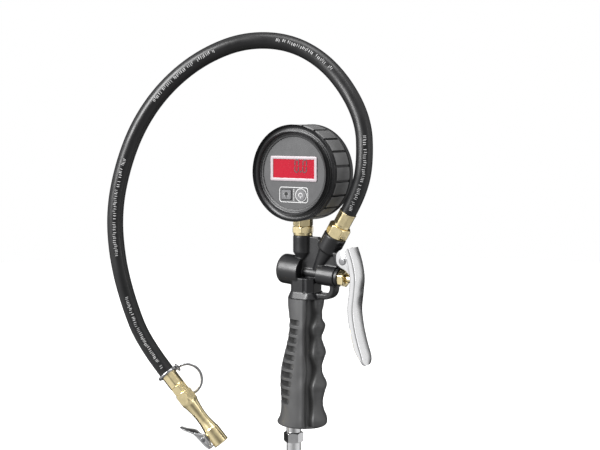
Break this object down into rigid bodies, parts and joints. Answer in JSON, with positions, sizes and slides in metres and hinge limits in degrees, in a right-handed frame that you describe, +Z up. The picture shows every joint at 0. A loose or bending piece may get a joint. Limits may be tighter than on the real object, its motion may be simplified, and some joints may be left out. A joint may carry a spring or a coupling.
{
  "type": "tyre inflator gun",
  "caption": "Hand-held digital tyre inflator: pistol grip, squeeze lever, round backlit gauge in a rubber boot, plug inlet, and a looped air hose with a clip-on chuck.",
  "frame": {"origin": "on the inlet plug's axis, at the shoulder of its nose", "axes": "+Z up along the handle, the gauge faces -Y, the squeeze lever is on +X"},
  "size_m": [0.2074, 0.0902, 0.3594],
  "materials": {
    "steel_plug": "satin turned steel",
    "washer": "matte rubber",
    "grip": "fine-grained black plastic",
    "casting": "semi-matte black coat",
    "spring_steel": "spring wire",
    "seal": "matte rubber",
    "brass": "machined brass",
    "lever_chrome": "satin chrome",
    "pin_steel": "bright steel",
    "boot": "satin moulded rubber",
    "case": "black plastic",
    "cell": "plain wrap",
    "board": "circuit board",
    "sensor": "pressed can",
    "dial": "dark grey face",
    "lcd_trim": "satin silver",
    "lcd": "backlit red display",
    "lens": "clear window",
    "outline": "white print",
    "button": "grey rubberised plastic",
    "hose_rubber": "smooth black hose",
    "ring_steel": "polished steel wire"
  },
  "bodies": {
    "gun": {"inlet_plug": "steel_plug", "inlet_washer": "washer", "grip_palm": "grip", "grip_fingers": "grip", "valve_body": "casting", "valve_rear_cap": "casting", "valve_spring": "spring_steel", "gland_nut": "brass", "gland_lock_ring": "casting", "stem_seal": "seal", "trigger_pin": "pin_steel", "gauge_boot": "boot", "gauge_case": "case", "case_screws": "pin_steel", "battery_door": "case", "batteries": "cell", "battery_contacts": "spring_steel", "circuit_board": "board", "pressure_sensor": "sensor", "dial_plate": "dial", "lcd_frame": "lcd_trim", "lcd_screen": "lcd", "lcd_window": "lens", "button_surround": "outline", "button_switches": "sensor", "gauge_stem": "brass", "gauge_nut": "brass", "outlet_fitting": "brass", "hose_ferrule_gun": "brass", "hose": "hose_rubber", "hose_ferrule_chuck": "brass", "chuck_coupling": "brass", "chuck_body": "brass", "chuck_seal": "seal", "chuck_core_pin": "brass", "clip_bracket": "pin_steel", "clip_pin": "pin_steel", "clip_spring": "spring_steel", "ring_collar": "ring_steel"},
    "trigger": {"trigger_lever": "lever_chrome"},
    "plunger": {"valve_plunger": "brass", "valve_poppet": "brass", "poppet_seal": "seal"},
    "left_button": {"button_left": "button"},
    "right_button": {"button_right": "button"},
    "clip": {"chuck_clip_lever": "lever_chrome"},
    "ring": {"key_ring": "ring_steel"}
  },
  "joints": [
    {"name": "trigger_pivot", "type": "hinge", "parent": "gun", "child": "trigger", "pos_m": [0.0503, 0, 0.1723], "axis": [0, 1, 0], "range_deg": [0, 12], "stiffness_Nm_per_rad": 0.5, "springref_deg": -8.59},
    {"name": "plunger_slide", "type": "slide", "parent": "gun", "child": "plunger", "axis": [-0.9976, 0, 0.0698], "range_m": [0, 0.003], "deforming": ["valve_spring"]},
    {"name": "left_button_press", "type": "slide", "parent": "gun", "child": "left_button", "axis": [0, 1, 0], "range_m": [0, 0.0006], "stiffness_N_per_m": 60, "springref_m": -0.0005},
    {"name": "right_button_press", "type": "slide", "parent": "gun", "child": "right_button", "axis": [0, 1, 0], "range_m": [0, 0.0006], "stiffness_N_per_m": 60, "springref_m": -0.0005},
    {"name": "clip_pivot", "type": "hinge", "parent": "gun", "child": "clip", "pos_m": [-0.05931, -0.04188, 0.02305], "axis": [-0.4533, 0.8682, -0.2016], "range_deg": [0, 25], "stiffness_Nm_per_rad": 0.02, "springref_deg": -28.65, "deforming": ["clip_spring"]},
    {"name": "ring_swing", "type": "hinge", "parent": "gun", "child": "ring", "pos_m": [-0.09202, -0.03454, 0.07714], "axis": [0.6196, 0.4696, 0.6289], "range_deg": [0, 80]}
  ],
  "couplings": [
    {"joint": "plunger_slide", "follows": "trigger_pivot", "m_per_rad": 0.014324}
  ]
}
